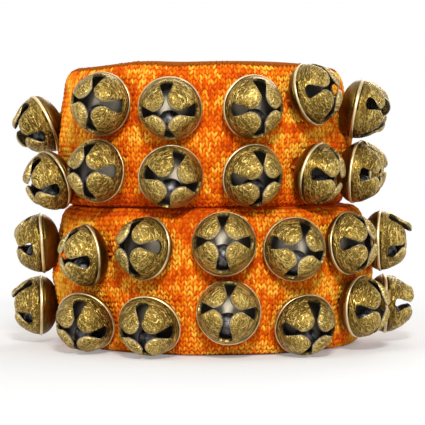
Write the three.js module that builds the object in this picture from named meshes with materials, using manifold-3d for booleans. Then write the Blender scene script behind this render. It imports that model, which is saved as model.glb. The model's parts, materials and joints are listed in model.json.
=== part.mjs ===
// Ghungroo: a pair of padded ankle bands, one standing on the other, each sewn with two rows of brass bells.
// Millimetres, +Z up. The bells face -Y and the bands close at the back, +Y.
// The origin is at the middle of the object's base.
import * as THREE from 'three';
import { mergeVertices } from 'three/addons/utils/BufferGeometryUtils.js';
import Module from 'manifold-3d';

// Bell: a cup of four petals in front of its rim and a shallow dome behind it
const BELL_DIAMETER = 20.6;
const PETAL_DEPTH = 9.4;
const DOME_DEPTH = 6;
const BELL_WALL = 0.9;
const RIM_PROUD = 0.35;
const RIM_WIDTH = 1.1;
const PETAL_TIP_RADIUS = 3.75;
const SLOT_NECK_WIDTH = 1.1;
const SLOT_END_WIDTH = 3.4;
const SLOT_END_MARGIN = 0.55;

// Eye: the ring cast on the dome, which the sewing thread goes through
const EYE_DIAMETER = 3.2;
const EYE_HOLE_DIAMETER = 1.6;
const EYE_WIDTH = 1.6;
const EYE_SINK = 1;

// Pellet: the loose iron ball that rings the bell
const PELLET_DIAMETER = 7.6;
const PELLET_CLEARANCE = 0.6;
const PELLET_FORWARD_SHARE = 0.45;

// Spacing of the bells round a band and up it
const BELL_GAP = 2.6;
const ROW_GAP = 0.9;
const ROW_MARGIN = 12.75;

// Padded band
const LOWER_RADIUS = 50.5;
const GIRTH_STEP = 3.5;
const STACK_SHIFT = 3;
const STACK_CLEARANCE = 0.3;
const PAD_THICKNESS = 8.5;
const PAD_EDGE_ROUND = 3.2;
const PAD_EDGE_ROUND_LIMIT = 0.4;
const PAD_END_ROUND = 1.6;
const PAD_PUFF = 1.2;
const TUFT_RADIUS = 5.5;
const SEAT_CLEARANCE = 0.4;
const BACK_GAP = 8;

// Hook-and-loop strap that closes a band behind the ankle
const STRAP_HEIGHT = 26;
const STRAP_THICKNESS = 1.6;
const STRAP_CLEARANCE = 0.3;
const STRAP_ROOT = 10;
const STRAP_GRIP = 24;
const STRAP_TIP_ROUND = 6;

// Facets
const BELL_SEGMENTS = 12;
const DOME_STEPS = 2;
const PETAL_STEPS = 3;
const HOLLOW_STEPS = 2;
const PETAL_TIP_SEGMENTS = 3;
const EYE_SEGMENTS = 6;
const PELLET_DETAIL = 1;
const PAD_STEPS = 44;
const PAD_FACE_STEPS = 6;
const PAD_CORNER_STEPS = 2;
const STRAP_STEPS = 10;
const STRAP_TIP_STEPS = 3;

// How each bell has settled on its band, from the wearer's right to left, as
// place along the row and lift, both in bell spacings, then sway, nod and roll in degrees
const LOWER_ROWS = {
  bottom: [
    [-3.69, 0.011, 0, 0, -40],
    [-2.09, 0.015, 22, -22, -10],
    [-0.89, 0.019, 2, -22, 0],
    [0.27, 0.054, -10, 9, -5],
    [1.38, -0.011, -10, -17, -3],
    [2.44, 0.097, 3, -2, 5],
    [3.8, 0.032, 4, 0, 0],
  ],
  top: [
    [-3.42, 0.032, -8, -4, -10],
    [-1.82, -0.075, -23, -5, -8],
    [-0.84, -0.011, -21, 8, 2],
    [0.2, 0.054, -9, 9, 0],
    [1.24, 0.011, -15, 1, -16],
    [2.13, 0.054, 3, 3, 0],
    [3.2, 0.062, 8, 0, 24],
  ],
};
const UPPER_ROWS = {
  bottom: [
    [-2.76, -0.075, 8, -20, -12],
    [-1.63, -0.03, 10, 0, 0],
    [-0.52, -0.043, 16, -12, -16],
    [0.63, -0.024, 10, -13, 2],
    [1.63, 0.002, 21, -14, -6],
    [2.71, -0.037, 10, -6, 0],
    [4.18, -0.011, 8, -5, -10],
  ],
  top: [
    [-3.5, -0.172, 12, -24, -20],
    [-1.59, -0.037, 16, 2, -8],
    [-0.47, -0.043, 4, -12, 2],
    [0.63, -0.041, 11, -8, 3],
    [1.54, 0.032, 21, 14, 2],
    [2.8, -0.015, 14, -12, -17],
    [4.1, -0.011, 6, -5, 10],
  ],
};

const MERGE_TOLERANCE = 1e-5;
const RIM_RADIUS = BELL_DIAMETER / 2;
const SHELL_RADIUS = RIM_RADIUS - RIM_PROUD;
const EYE_RADIUS = EYE_DIAMETER / 2;
const RIM_FORWARD = DOME_DEPTH + EYE_RADIUS - EYE_SINK;
const EYE_STANDOFF = EYE_RADIUS + SEAT_CLEARANCE;
const PELLET_RADIUS = PELLET_DIAMETER / 2;
const BELL_SPACING = BELL_DIAMETER + BELL_GAP;
const ROW_PITCH = BELL_DIAMETER + ROW_GAP;
const PAD_HEIGHT = ROW_PITCH + 2 * ROW_MARGIN;
const UPPER_RADIUS = LOWER_RADIUS - GIRTH_STEP;

const wasm = await Module();
wasm.setup();

// Closed solid from a three.js geometry, without the empty triangles at a lathe's poles
function toSolid(geometry) {
  const bare = geometry.clone();
  bare.deleteAttribute('normal');
  bare.deleteAttribute('uv');
  const merged = mergeVertices(bare, MERGE_TOLERANCE);
  const corners = merged.index.array;
  const kept = [];
  for (let i = 0; i < corners.length; i += 3) {
    const [a, b, c] = corners.slice(i, i + 3);
    if (a !== b && b !== c && c !== a) kept.push(a, b, c);
  }
  return new wasm.Manifold(new wasm.Mesh({
    numProp: 3,
    vertProperties: new Float32Array(merged.attributes.position.array),
    triVerts: new Uint32Array(kept),
  }));
}

function toGeometry(solid) {
  const mesh = solid.getMesh();
  const geometry = new THREE.BufferGeometry();
  geometry.setAttribute('position', new THREE.BufferAttribute(mesh.vertProperties, 3));
  geometry.setIndex(new THREE.BufferAttribute(mesh.triVerts, 1));
  geometry.computeVertexNormals();
  return geometry;
}

const degrees = THREE.MathUtils.degToRad;

// Quarter of an ellipse from the axis out to the rim, in lathe coordinates
function quarter(radius, depth, steps) {
  const points = [];
  for (let i = 0; i <= steps; i += 1) {
    const turn = (i / steps) * (Math.PI / 2);
    points.push(new THREE.Vector2(radius * Math.sin(turn), depth * Math.cos(turn)));
  }
  points[0].x = 0;
  return points;
}

// Solid of revolution about +Z, with its widest place at the rim's distance from the eye
function turned(profile) {
  const lathe = new THREE.LatheGeometry(profile, BELL_SEGMENTS);
  lathe.rotateY(Math.PI / BELL_SEGMENTS);
  lathe.rotateX(Math.PI / 2);
  lathe.translate(0, 0, RIM_FORWARD);
  return toSolid(lathe);
}

// Outside of the bell: dome, proud rim and petals
function bellOutside() {
  const dome = quarter(SHELL_RADIUS, -DOME_DEPTH, DOME_STEPS).slice(0, -1);
  const petals = quarter(SHELL_RADIUS, PETAL_DEPTH, PETAL_STEPS).slice(0, -1).reverse();
  const rim = [
    new THREE.Vector2(RIM_RADIUS, -RIM_WIDTH / 2),
    new THREE.Vector2(RIM_RADIUS, RIM_WIDTH / 2),
  ];
  return turned([...dome, ...rim, ...petals]);
}

function bellHollow() {
  const radius = SHELL_RADIUS - BELL_WALL;
  const dome = quarter(radius, -(DOME_DEPTH - BELL_WALL), HOLLOW_STEPS);
  const petals = quarter(radius, PETAL_DEPTH - BELL_WALL, HOLLOW_STEPS).slice(0, -1).reverse();
  return turned([...dome, ...petals]);
}

// Four-armed cut that parts the petals: each arm is square at its end and narrows to the round petal tips
function slotCut() {
  const reach = SHELL_RADIUS - SLOT_END_MARGIN;
  const half = SLOT_END_WIDTH / 2;
  const tip = PETAL_TIP_RADIUS + SLOT_NECK_WIDTH / 2;
  const outline = new THREE.Shape();
  for (let arm = 0; arm < 4; arm += 1) {
    const turn = (arm * Math.PI) / 2;
    const at = (x, y) => new THREE.Vector2(x, y).rotateAround(new THREE.Vector2(), turn);
    const start = at(reach, -half);
    const end = at(reach, half);
    const centre = at(tip, tip);
    if (arm === 0) outline.moveTo(start.x, start.y);
    else outline.lineTo(start.x, start.y);
    outline.lineTo(end.x, end.y);
    outline.absarc(centre.x, centre.y, PETAL_TIP_RADIUS, turn - Math.PI / 2, turn - Math.PI, true);
  }
  outline.closePath();
  const slotRoot = PETAL_DEPTH * Math.sqrt(1 - (reach / SHELL_RADIUS) ** 2) - BELL_WALL;
  const cut = new THREE.ExtrudeGeometry(outline, {
    depth: PETAL_DEPTH,
    curveSegments: PETAL_TIP_SEGMENTS / 2,
    bevelEnabled: false,
  });
  cut.translate(0, 0, RIM_FORWARD + slotRoot);
  return toSolid(cut);
}

// Ring with its hole across the bell, centred on the origin
function eyeRing() {
  const outline = new THREE.Shape().absarc(0, 0, EYE_RADIUS, 0, 2 * Math.PI, false);
  outline.holes.push(new THREE.Path().absarc(0, 0, EYE_HOLE_DIAMETER / 2, 0, 2 * Math.PI, true));
  const ring = new THREE.ExtrudeGeometry(outline, {
    depth: EYE_WIDTH,
    curveSegments: EYE_SEGMENTS / 2,
    bevelEnabled: false,
  });
  ring.translate(0, 0, -EYE_WIDTH / 2);
  ring.rotateY(Math.PI / 2);
  return toSolid(ring);
}

// Bell with its eye at the origin and its mouth towards -Y
function bellGeometry() {
  const shell = bellOutside().add(eyeRing()).subtract(bellHollow()).subtract(slotCut());
  return toGeometry(shell).rotateX(Math.PI / 2);
}

// The pellet lies low in the hollow, forward of the rim
function pelletPlace() {
  const hollowRadius = (SHELL_RADIUS - BELL_WALL) * Math.cos(Math.PI / BELL_SEGMENTS);
  const roomAcross = hollowRadius - PELLET_RADIUS - PELLET_CLEARANCE;
  const roomAlong = PETAL_DEPTH - BELL_WALL - PELLET_RADIUS - PELLET_CLEARANCE;
  const drop = roomAcross * Math.sqrt(1 - PELLET_FORWARD_SHARE ** 2);
  return new THREE.Vector3(0, -RIM_FORWARD - PELLET_FORWARD_SHARE * roomAlong, -drop);
}

// Point on a band: turn is counted from the front, -Y, towards +X
function bandPoint(turn, radius, z) {
  return new THREE.Vector3(radius * Math.sin(turn), -radius * Math.cos(turn), z);
}

// Closed mesh through a row of equal rings, with a flat face on each end
function sweptRings(rings) {
  const count = rings[0].length;
  const faces = [];
  for (let i = 0; i + 1 < rings.length; i += 1) {
    for (let j = 0; j < count; j += 1) {
      const a = i * count + j;
      const b = i * count + ((j + 1) % count);
      faces.push(a, b + count, b, a, a + count, b + count);
    }
  }
  const last = (rings.length - 1) * count;
  for (let j = 1; j + 1 < count; j += 1) {
    faces.push(0, j, j + 1, last, last + j + 1, last + j);
  }
  const geometry = new THREE.BufferGeometry().setFromPoints(rings.flat());
  geometry.setIndex(faces);
  geometry.computeVertexNormals();
  return geometry;
}

// Round-edged section of a pad, as depth from the outer face and height, going up that face
function padSection() {
  const round = Math.min(PAD_EDGE_ROUND, PAD_THICKNESS * PAD_EDGE_ROUND_LIMIT);
  const points = [];
  for (let i = 0; i < PAD_FACE_STEPS; i += 1) {
    points.push([0, round + ((PAD_HEIGHT - 2 * round) * i) / PAD_FACE_STEPS]);
  }
  const corners = [
    [round, PAD_HEIGHT - round, 180],
    [PAD_THICKNESS - round, PAD_HEIGHT - round, 90],
    [PAD_THICKNESS - round, round, 0],
    [round, round, -90],
  ];
  corners.forEach(([depth, height, first], corner) => {
    for (let i = 0; i <= PAD_CORNER_STEPS; i += 1) {
      const turn = degrees(first - (90 * i) / PAD_CORNER_STEPS);
      points.push([depth + round * Math.cos(turn), height + round * Math.sin(turn)]);
    }
    if (corner === 1) points.push([PAD_THICKNESS, PAD_HEIGHT / 2]);
  });
  return points.slice(0, -1);
}

// How far the padding swells at a place: nothing at a bell's seat or at the edges, full between them
function padSwell(radius, seats, turn, z) {
  const upDown = (2 * z) / PAD_HEIGHT - 1;
  const distances = seats.map((seat) => Math.hypot((turn - seat.turn) * radius, z - seat.z));
  const pull = THREE.MathUtils.smoothstep(Math.min(...distances), TUFT_RADIUS, 2 * TUFT_RADIUS);
  return PAD_PUFF * pull * (1 - upDown ** 4);
}

// Padded band: a thick C in plan, open at the back, drawn in where each bell is sewn
function padGeometry(radius, seats) {
  const section = padSection();
  const reach = Math.PI - BACK_GAP / 2 / radius;
  const endTurn = PAD_END_ROUND / radius;
  const rings = [];
  for (let i = 0; i <= PAD_STEPS; i += 1) {
    const atEnd = i === 0 || i === PAD_STEPS;
    const along = (i - 1) / (PAD_STEPS - 2);
    const inside = THREE.MathUtils.lerp(endTurn - reach, reach - endTurn, along);
    const turn = atEnd ? Math.sign(inside) * reach : inside;
    const inset = atEnd ? PAD_END_ROUND : 0;
    rings.push(section.map(([depth, z]) => {
      const swell = depth === 0 ? padSwell(radius, seats, turn, z) : 0;
      const drawn = THREE.MathUtils.clamp(depth, inset, PAD_THICKNESS - inset);
      const height = THREE.MathUtils.clamp(z, inset, PAD_HEIGHT - inset);
      return bandPoint(turn, radius + (atEnd ? 0 : swell) - drawn, height);
    }));
  }
  return sweptRings(rings);
}

// Strap lying round the back of a band, from its sewn root past the gap to a round tip
function strapGeometry(radius) {
  const inner = radius + PAD_PUFF + STRAP_CLEARANCE;
  const outer = inner + STRAP_THICKNESS;
  const root = Math.PI - (BACK_GAP / 2 + STRAP_ROOT) / radius;
  const tip = Math.PI + (BACK_GAP / 2 + STRAP_GRIP) / radius;
  const round = Math.min(STRAP_TIP_ROUND, STRAP_HEIGHT / 2);
  const ringAt = (turn, half) => [
    bandPoint(turn, outer, PAD_HEIGHT / 2 - half),
    bandPoint(turn, outer, PAD_HEIGHT / 2 + half),
    bandPoint(turn, inner, PAD_HEIGHT / 2 + half),
    bandPoint(turn, inner, PAD_HEIGHT / 2 - half),
  ];
  const square = tip - round / inner;
  const rings = [];
  for (let i = 0; i < STRAP_STEPS; i += 1) {
    rings.push(ringAt(THREE.MathUtils.lerp(root, square, i / STRAP_STEPS), STRAP_HEIGHT / 2));
  }
  for (let i = 0; i <= STRAP_TIP_STEPS; i += 1) {
    const turn = ((i / STRAP_TIP_STEPS) * Math.PI) / 2;
    const half = STRAP_HEIGHT / 2 - round + round * Math.cos(turn);
    rings.push(ringAt(square + (round * Math.sin(turn)) / inner, half));
  }
  return sweptRings(rings);
}

const brass = () => new THREE.MeshStandardMaterial({ color: 0x96824b, roughness: 0.35, metalness: 1 });
const iron = () => new THREE.MeshStandardMaterial({ color: 0x4c5058, roughness: 0.3, metalness: 1 });
const knit = () => new THREE.MeshStandardMaterial({ color: 0xf0780f, roughness: 0.95, metalness: 0 });
const strapCloth = () => new THREE.MeshStandardMaterial({ color: 0xc85f0f, roughness: 0.9, metalness: 0 });

function named(name, geometry, material) {
  const mesh = new THREE.Mesh(geometry, material);
  mesh.name = name;
  return mesh;
}

// One bell and its pellet, hung by the eye on the band's face
function hungBell(name, number, seat, radius, shape) {
  const hung = new THREE.Group();
  hung.position.copy(bandPoint(seat.turn, radius + EYE_STANDOFF, seat.z));
  hung.rotation.set(-degrees(seat.nod), 0, seat.turn + degrees(seat.sway), 'ZXY');
  const bell = named(`${name}_bell_${number}`, shape, brass());
  bell.rotation.y = -degrees(seat.roll);
  const ball = new THREE.IcosahedronGeometry(PELLET_RADIUS, PELLET_DETAIL);
  const pellet = named(`${name}_pellet_${number}`, ball, iron());
  pellet.position.copy(pelletPlace());
  hung.add(bell, pellet);
  return hung;
}

// One band with its pad, its strap and two rows of bells
function ankleBand(name, radius, rows, shape) {
  const band = new THREE.Group();
  const spacing = BELL_SPACING / (radius + EYE_STANDOFF + RIM_FORWARD);
  const seats = [];
  for (const [row, bells] of Object.entries(rows)) {
    const rowHeight = ROW_MARGIN + (row === 'top' ? ROW_PITCH : 0);
    bells.forEach(([place, lift, sway, nod, roll], i) => {
      const seat = { turn: place * spacing, z: rowHeight + lift * BELL_SPACING, sway, nod, roll };
      seats.push(seat);
      band.add(hungBell(`${name}_${row}`, i + 1, seat, radius, shape));
    });
  }
  band.add(named(`${name}_pad`, padGeometry(radius, seats), knit()));
  band.add(named(`${name}_closure_strap`, strapGeometry(radius), strapCloth()));
  return band;
}

const bellShape = bellGeometry();
const lowerBand = ankleBand('lower', LOWER_RADIUS, LOWER_ROWS, bellShape);
const upperBand = ankleBand('upper', UPPER_RADIUS, UPPER_ROWS, bellShape);
upperBand.position.set(-STACK_SHIFT, 0, PAD_HEIGHT + STACK_CLEARANCE);

const pair = new THREE.Group();
pair.add(lowerBand, upperBand);
const box = new THREE.Box3().setFromObject(pair, true);
const middle = box.getCenter(new THREE.Vector3());
pair.position.set(-middle.x, -middle.y, -box.min.z);

const ghungroo = new THREE.Group();
ghungroo.add(pair);
export default ghungroo;
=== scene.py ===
import json
import math
import bmesh
import bpy
import numpy as np
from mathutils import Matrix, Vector, noise


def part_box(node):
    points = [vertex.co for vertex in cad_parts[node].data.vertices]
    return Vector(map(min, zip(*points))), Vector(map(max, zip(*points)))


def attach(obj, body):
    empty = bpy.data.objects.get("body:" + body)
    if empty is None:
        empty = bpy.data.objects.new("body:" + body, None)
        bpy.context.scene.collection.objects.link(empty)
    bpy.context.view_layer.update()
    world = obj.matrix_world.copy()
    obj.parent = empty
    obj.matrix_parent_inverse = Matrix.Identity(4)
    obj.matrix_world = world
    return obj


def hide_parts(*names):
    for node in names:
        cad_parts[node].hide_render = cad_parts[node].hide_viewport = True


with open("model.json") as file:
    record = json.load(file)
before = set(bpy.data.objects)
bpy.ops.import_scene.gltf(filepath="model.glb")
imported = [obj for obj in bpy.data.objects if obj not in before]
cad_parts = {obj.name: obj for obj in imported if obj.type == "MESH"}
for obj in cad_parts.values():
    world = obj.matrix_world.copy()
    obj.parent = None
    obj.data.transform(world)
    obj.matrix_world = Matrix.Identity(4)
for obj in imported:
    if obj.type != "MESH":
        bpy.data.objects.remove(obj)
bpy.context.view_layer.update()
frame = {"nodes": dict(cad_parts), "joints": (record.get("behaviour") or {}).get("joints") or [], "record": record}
scene = bpy.context.scene
scene.view_settings.view_transform = "Standard"
mm = 0.001
quarterTurn = math.pi / 2
joints = {joint["child"]: joint for joint in frame["joints"]}
nodRanges = {joint["child"]: joint.get("range_deg") for joint in frame["record"]["behaviour"]["joints"]}
bandNames = ("lower", "upper")
rowNames = ("bottom", "top")
bellNames = [f"{band}_{row}_bell_{k}" for band in bandNames for row in rowNames for k in range(1, 8)]
print("frame loaded:", len(frame["nodes"]), "nodes")


# Small helpers shared by all pieces

def unit(vector):
    return vector / np.linalg.norm(vector)


def smoothStep(value):
    value = np.clip(value, 0, 1)
    return value * value * (3 - 2 * value)


def runLength(line):  # distance along a flat line, up to each of its points
    return np.concatenate([[0], np.cumsum(np.hypot(*np.diff(line, axis=0).T))])


def fitCircle(points):  # centre and radius of the ring that the points lie on
    points = np.asarray(points)
    rows = np.column_stack([2 * points, np.ones(len(points))])
    x, y, rest = np.linalg.lstsq(rows, (points ** 2).sum(axis=1), rcond=None)[0]
    return np.array([x, y]), math.sqrt(rest + x * x + y * y)


def makePiece(name, points, faces, material, attributes=None):
    mesh = bpy.data.meshes.new(name)
    mesh.from_pydata([tuple(point) for point in points], [], faces)
    mesh.materials.append(material)
    mesh.polygons.foreach_set("use_smooth", [True] * len(mesh.polygons))
    for key, values in (attributes or {}).items():
        values = np.asarray(values, dtype=np.float32)
        kind, field = ("FLOAT_VECTOR", "vector") if values.ndim == 2 else ("FLOAT", "value")
        mesh.attributes.new(key, kind, "POINT").data.foreach_set(field, values.ravel())
    piece = bpy.data.objects.new(name, mesh)
    scene.collection.objects.link(piece)
    return piece


def plainMesh(piece):  # the evaluated shape as a mesh of its own, modifiers gone
    depsgraph = bpy.context.evaluated_depsgraph_get()
    mesh = bpy.data.meshes.new_from_object(piece.evaluated_get(depsgraph), depsgraph=depsgraph)
    piece.modifiers.clear()
    old = piece.data
    piece.data = mesh
    bpy.data.meshes.remove(old)
    return mesh


def gridFaces(rings, count, first=0, closed=False):  # quads from each ring of points to the next
    faces = []
    for i in range(rings if closed else rings - 1):
        here, beyond = first + i * count, first + (i + 1) % rings * count
        for j in range(count):
            k = (j + 1) % count
            faces.append((here + j, here + k, beyond + k, beyond + j))
    return faces


def meshPlaces(mesh):
    places = np.empty(len(mesh.vertices) * 3)
    mesh.vertices.foreach_get("co", places)
    return places.reshape(-1, 3)


def dress(piece, body, replaced=None):  # body it rides on, solid it stands for
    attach(piece, body)
    if replaced:
        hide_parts(replaced)


# Node trees are built with these

def isSocket(value):
    return isinstance(value, bpy.types.NodeSocket)


def rgba(colour):
    return colour if isSocket(colour) else (*colour, 1)


def setInputs(tree, node, inputs):  # sockets are linked, plain values are set
    for key, value in inputs.items():
        if isSocket(value):
            tree.links.new(value, node.inputs[key])
        else:
            node.inputs[key].default_value = value


def addNode(tree, kind, inputs=None, **settings):
    node = tree.nodes.new(kind)
    for key, value in settings.items():
        setattr(node, key, value)
    setInputs(tree, node, inputs or {})
    return node


def mathNode(tree, operation, first, second=0.0):
    return addNode(tree, "ShaderNodeMath", {0: first, 1: second}, operation=operation).outputs[0]


def weighed(tree, *parts):  # sum of fields, each times its weight
    total = None
    for field, weight in parts:
        part = field if weight == 1 else mathNode(tree, "MULTIPLY", field, weight)
        total = mathNode(tree, "ADD", total, part) if total else part
    return total


def mixColour(tree, factor, first, second):
    inputs = {0: factor, 6: rgba(first), 7: rgba(second)}
    return addNode(tree, "ShaderNodeMix", inputs, data_type="RGBA").outputs[2]


def rampNode(tree, factor, stops):
    node = addNode(tree, "ShaderNodeValToRGB", {"Fac": factor})
    ramp = node.color_ramp
    while len(ramp.elements) < len(stops):
        ramp.elements.new(0.5)
    for element, (place, colour) in zip(ramp.elements, stops):
        element.position = place
        element.color = rgba(colour)
    return node.outputs["Color"]


def mapNode(tree, value, fromRange, toRange=(0.0, 1.0), easing="LINEAR"):
    inputs = {"Value": value, "From Min": fromRange[0], "From Max": fromRange[1],
              "To Min": toRange[0], "To Max": toRange[1]}
    return addNode(tree, "ShaderNodeMapRange", inputs, interpolation_type=easing).outputs[0]


def attributeNode(tree, name, output="Fac"):
    return addNode(tree, "ShaderNodeAttribute", attribute_name=name).outputs[output]


def objectPlace(tree):
    return addNode(tree, "ShaderNodeTexCoord").outputs["Object"]


def noiseNode(tree, place, scale, detail, more=None):
    inputs = {"Vector": place, "Scale": scale, "Detail": detail, **(more or {})}
    return addNode(tree, "ShaderNodeTexNoise", inputs).outputs["Fac"]


def waveNode(tree, place, scale, distortion, direction, more=None):
    inputs = {"Vector": place, "Scale": scale, "Distortion": distortion, "Detail": 1.0, **(more or {})}
    return addNode(tree, "ShaderNodeTexWave", inputs, bands_direction=direction).outputs["Fac"]


def newMaterial(name):
    material = bpy.data.materials.new(name)
    material.use_nodes = True
    tree = material.node_tree
    return material, tree, tree.nodes["Principled BSDF"]


def finishMaterial(tree, shader, colour, height, bump, others):  # bump: depth in metres, strength
    relief = addNode(tree, "ShaderNodeBump", {"Height": height, "Distance": bump[0], "Strength": bump[1]})
    setInputs(tree, shader, {"Base Color": colour, "Normal": relief.outputs[0], **others})


# Finishes

brassFinish = {
    "pit": (0.070, 0.040, 0.006),
    "body": (0.215, 0.130, 0.022),
    "crest": (0.78, 0.58, 0.18),
    "toneStops": (0.26, 0.42, 0.80),
    # the crown tone is painted shading: petal tips lighter, petal feet and the rest of the shell darker
    "toneWeights": {"cloud": 0.5, "speck": 0.3, "crest": 0.34, "crown": 0.14},
    "paintedShadingMiddle": 0.3,
    # pale rim and petal edges: rubbed wear with a painted highlight, in patches
    "rim": (0.82, 0.67, 0.38),
    "rimWearAndHighlight": (0.26, 0.50),
    # hollow: tarnished brass, darkened further as painted shade
    "inside": (0.036, 0.024, 0.014),
    "paintedLight": (1.0, 0.87, 0.64),  # painted pool of light at the bottom of the hollow, where lamp light falls in
    "tarnish": 0.88,  # how dull the hollow is
    "ridges": {"scale": 0.95, "detail": 0.6, "distortion": 0.45,  # drawn out round the bell
               "width": 0.085, "height": 1.0, "easing": "SMOOTHSTEP"},
    "fineRidges": {"scale": 1.9, "detail": 0.0, "distortion": 0.4,
                   "width": 0.09, "height": 0.75, "easing": "LINEAR"},
    "breakScale": 0.7,
    "breakRange": (0.34, 0.50),  # where the ridges stop and start again
    "cloudScale": 0.21,
    "speckScale": 2.4,
    "roughness": (0.36, 0.50),
    "hollowRoughness": 0.06,
    "speckHeight": 0.15,
    "bump": (0.00017, 1.0),
}


def ridgeLines(tree, place, line):  # thin crests where a noise crosses its middle
    curl = noiseNode(tree, place, line["scale"], line["detail"], {"Distortion": line["distortion"]})
    away = mathNode(tree, "ABSOLUTE", mathNode(tree, "SUBTRACT", curl, 0.5))
    return mapNode(tree, away, (0.0, line["width"]), (line["height"], 0.0), line["easing"])


def brassMaterial():
    s = brassFinish
    material, tree, shader = newMaterial("antiqueBrass")
    place = attributeNode(tree, "grain", "Vector")
    petal, rim, inside, paintedLight, crown = (attributeNode(tree, name)
                                       for name in ("petal", "rim", "inside", "paintedLight", "crown"))
    broken = mapNode(tree, noiseNode(tree, place, s["breakScale"], 1.0), s["breakRange"])
    ridges = mathNode(tree, "MULTIPLY", ridgeLines(tree, place, s["ridges"]), broken)
    crest = mathNode(tree, "MAXIMUM", ridges, ridgeLines(tree, place, s["fineRidges"]))
    crest = mathNode(tree, "MULTIPLY", crest, petal)
    cloud = noiseNode(tree, place, s["cloudScale"], 4.0, {"Roughness": 0.6})
    speck = noiseNode(tree, place, s["speckScale"], 3.0)
    # painted shading: below the middle darker, above it lighter
    crown = mathNode(tree, "SUBTRACT", crown, s["paintedShadingMiddle"])
    weights = s["toneWeights"]
    tone = weighed(tree, (cloud, weights["cloud"]), (speck, weights["speck"]), (crest, weights["crest"]),
                   (crown, weights["crown"]))
    colour = rampNode(tree, tone, list(zip(s["toneStops"], (s["pit"], s["body"], s["crest"]))))
    # rim paled in patches: wear and painted highlight
    rim = mathNode(tree, "MULTIPLY", rim, mapNode(tree, cloud, s["rimWearAndHighlight"]))
    for share, coat in ((rim, "rim"), (inside, "inside"), (paintedLight, "paintedLight")):
        colour = mixColour(tree, share, colour, s[coat])
    rough = weighed(tree, (mapNode(tree, cloud, (0.3, 0.7), s["roughness"]), 1.0),
                    (inside, s["hollowRoughness"]), (paintedLight, -s["hollowRoughness"]))
    metal = mathNode(tree, "SUBTRACT", 1.0, mathNode(tree, "MULTIPLY", inside, s["tarnish"]))
    height = weighed(tree, (crest, 1.0), (speck, s["speckHeight"]))
    finishMaterial(tree, shader, colour, height, s["bump"], {"Roughness": rough, "Metallic": metal})
    return material


ironFinish = {
    "dark": (0.042, 0.038, 0.038),
    "pale": (0.23, 0.215, 0.215),
    "gritScale": 900.0,
    "roughness": (0.34, 0.58),
    "bump": (0.00012, 0.6),
}


def ironMaterial():
    s = ironFinish
    material, tree, shader = newMaterial("pelletIron")
    grit = noiseNode(tree, objectPlace(tree), s["gritScale"], 5.0)
    colour = rampNode(tree, grit, [(0.35, s["dark"]), (0.75, s["pale"])])
    rough = mapNode(tree, grit, (0.0, 1.0), s["roughness"])
    finishMaterial(tree, shader, colour, grit, s["bump"], {"Roughness": rough, "Metallic": 0.9})
    return material


knitFinish = {
    "shade": (0.56, 0.055, 0.001),
    "red": (0.78, 0.118, 0.001),
    "orange": (0.88, 0.228, 0.003),
    "gold": (1.0, 0.56, 0.050),
    # hem: painted shade on the rolled top edge, which turns away from the light
    "hem": (0.34, 0.078, 0.002),
    "lining": (0.62, 0.12, 0.006),
    "cloudWeight": 0.7,
    "hemTones": (-0.1, -0.5),  # a stitch toned below these belongs to the hem
    "yarnBump": (0.00012, 0.7),
    "clothBump": (0.0004, 0.8),
    "sheen": {"Specular IOR Level": 0.08, "Sheen Weight": 0.06, "Sheen Tint": (1.0, 0.5, 0.12, 1)},
}


def knitMaterial():  # yarn: each stitch has its own tone, fibres along it
    s = knitFinish
    material, tree, shader = newMaterial("orangeKnit")
    place = objectPlace(tree)
    cloud = mathNode(tree, "SUBTRACT", noiseNode(tree, place, 420.0, 3.0), 0.5)
    tone = weighed(tree, (attributeNode(tree, "tone"), 1.0), (cloud, s["cloudWeight"]))
    colour = rampNode(tree, tone, [(0.0, s["shade"]), (0.28, s["red"]), (0.6, s["orange"]), (1.0, s["gold"])])
    colour = mixColour(tree, mapNode(tree, tone, s["hemTones"]), colour, s["hem"])
    fibre = noiseNode(tree, place, 2600.0, 2.0)
    finishMaterial(tree, shader, colour, fibre, s["yarnBump"],
                   {"Roughness": 0.82, "Sheen Roughness": 0.45, **s["sheen"]})
    return material


def padMaterial():  # ground cloth under the stitches, smooth rolled hem, ribbed lining
    s = knitFinish
    material, tree, shader = newMaterial("padCloth")
    lining = attributeNode(tree, "lining")
    cloud = noiseNode(tree, objectPlace(tree), 260.0, 3.0)
    rib = waveNode(tree, attributeNode(tree, "weave", "Vector"), 0.16, 1.2, "X", {"Detail Scale": 1.5})
    # painted shade: the cloth between the stitches is toned darker than the yarn
    paintedShadeGround = rampNode(tree, cloud, [(0.3, s["shade"]), (0.75, s["red"])])
    # painted shade: the rolled hem toned brown
    colour = mixColour(tree, attributeNode(tree, "hem"), paintedShadeGround, s["hem"])
    colour = mixColour(tree, lining, colour, mixColour(tree, rib, s["red"], s["lining"]))
    height = weighed(tree, (rib, lining), (cloud, 0.5))
    finishMaterial(tree, shader, colour, height, s["clothBump"], {"Roughness": 0.85, **s["sheen"]})
    return material


tapeFinish = {
    "dark": (0.40, 0.070, 0.004),
    "pale": (0.66, 0.150, 0.010),
    "thread": (0.82, 0.25, 0.02),
    "pileDark": (0.20, 0.040, 0.006),
    "pilePale": (0.46, 0.115, 0.016),
    "tapeBump": (0.0003, 0.8),
    "pileBump": (0.0006, 0.9),
    "threadBump": (0.00015, 0.7),
}


def tapeMaterial():
    s = tapeFinish
    material, tree, shader = newMaterial("closureTape")
    weave = attributeNode(tree, "weave", "Vector")
    warp, weft = (waveNode(tree, weave, scale, 0.6, way) for scale, way in ((0.42, "X"), (0.34, "Y")))
    cloth = mathNode(tree, "MULTIPLY", warp, weft)
    colour = rampNode(tree, cloth, [(0.0, s["dark"]), (0.6, s["pale"])])
    finishMaterial(tree, shader, colour, cloth, s["tapeBump"], {"Roughness": 0.78, "Sheen Weight": 0.15})
    return material


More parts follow.
